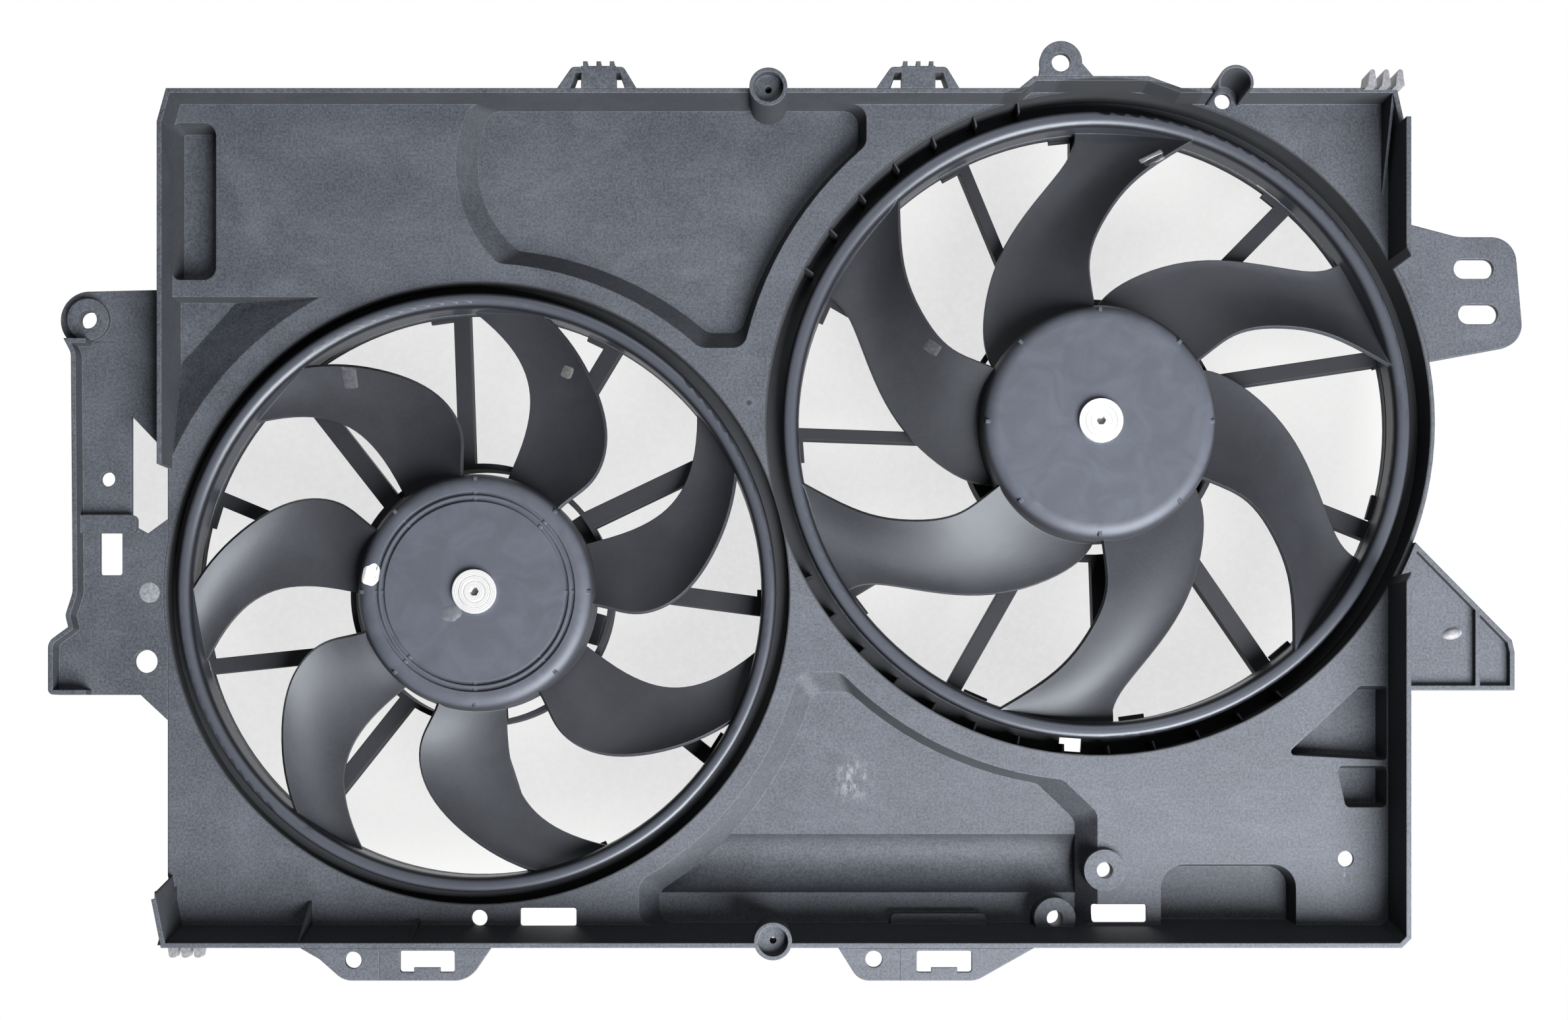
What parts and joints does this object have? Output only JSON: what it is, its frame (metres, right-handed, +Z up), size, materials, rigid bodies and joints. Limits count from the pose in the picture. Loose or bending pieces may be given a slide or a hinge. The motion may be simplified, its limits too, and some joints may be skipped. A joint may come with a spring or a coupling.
{
  "type": "cooling fan assembly",
  "caption": "Twin electric cooling fan assembly for a vehicle radiator: moulded shroud with stepped barrels, swept fans on ring hubs, strut-mounted motors and fixing brackets.",
  "frame": {"origin": "centre of the rim face that seats on the radiator", "axes": "+X to the right as seen from the radiator, +Z up, +Y away from the radiator towards the motors"},
  "size_m": [0.8096, 0.106, 0.5075],
  "materials": {
    "shroud_plastic": "satin, glass-filled, finely mottled",
    "fan_plastic": "satin moulded",
    "motor_steel": "black paint",
    "zinc_steel": "zinc plated",
    "bright_steel": "ground",
    "core_steel": "laminated",
    "magnet": "sintered ferrite",
    "bronze": "sintered",
    "copper": "enamelled wire",
    "carbon": "pressed carbon",
    "card_plastic": "laminate"
  },
  "bodies": {
    "shroud": {"shroud_panel": "shroud_plastic", "left_arm_bracket": "shroud_plastic", "left_ear": "shroud_plastic", "top_ear": "shroud_plastic", "low_left_ear": "shroud_plastic", "low_right_ear": "shroud_plastic", "low_left_bracket": "shroud_plastic", "low_right_bracket": "shroud_plastic", "right_upper_bracket": "shroud_plastic", "right_lower_bracket": "shroud_plastic", "top_clips": "shroud_plastic", "left_spider": "shroud_plastic", "left_motor_can": "motor_steel", "left_front_bush": "bronze", "left_rear_bush": "bronze", "left_end_cap": "motor_steel", "left_motor_flange": "zinc_steel", "left_motor_screws": "zinc_steel", "left_magnets": "magnet", "left_brushes": "carbon", "left_brush_card": "card_plastic", "left_connector_inlet": "shroud_plastic", "right_spider": "shroud_plastic", "right_motor_can": "motor_steel", "right_front_bush": "bronze", "right_rear_bush": "bronze", "right_end_cap": "motor_steel", "right_motor_flange": "zinc_steel", "right_motor_screws": "zinc_steel", "right_magnets": "magnet", "right_brushes": "carbon", "right_brush_card": "card_plastic", "right_connector_inlet": "shroud_plastic"},
    "left_rotor": {"left_fan": "fan_plastic", "left_hub_insert": "bronze", "left_shaft_disc": "zinc_steel", "left_shaft": "bright_steel", "left_balance_clips": "zinc_steel", "left_armature_core": "core_steel", "left_windings": "copper", "left_commutator": "copper"},
    "right_rotor": {"right_fan": "fan_plastic", "right_hub_insert": "bronze", "right_shaft_disc": "zinc_steel", "right_shaft": "bright_steel", "right_balance_clips": "zinc_steel", "right_armature_core": "core_steel", "right_windings": "copper", "right_commutator": "copper"}
  },
  "joints": [
    {"name": "left_fan_spin", "type": "hinge", "parent": "shroud", "child": "left_rotor", "pos_m": [-0.1695, 0.0415, -0.039], "axis": [0, 1, 0], "continuous": true},
    {"name": "right_fan_spin", "type": "hinge", "parent": "shroud", "child": "right_rotor", "pos_m": [0.1725, 0.052, 0.055], "axis": [0, 1, 0], "continuous": true}
  ]
}
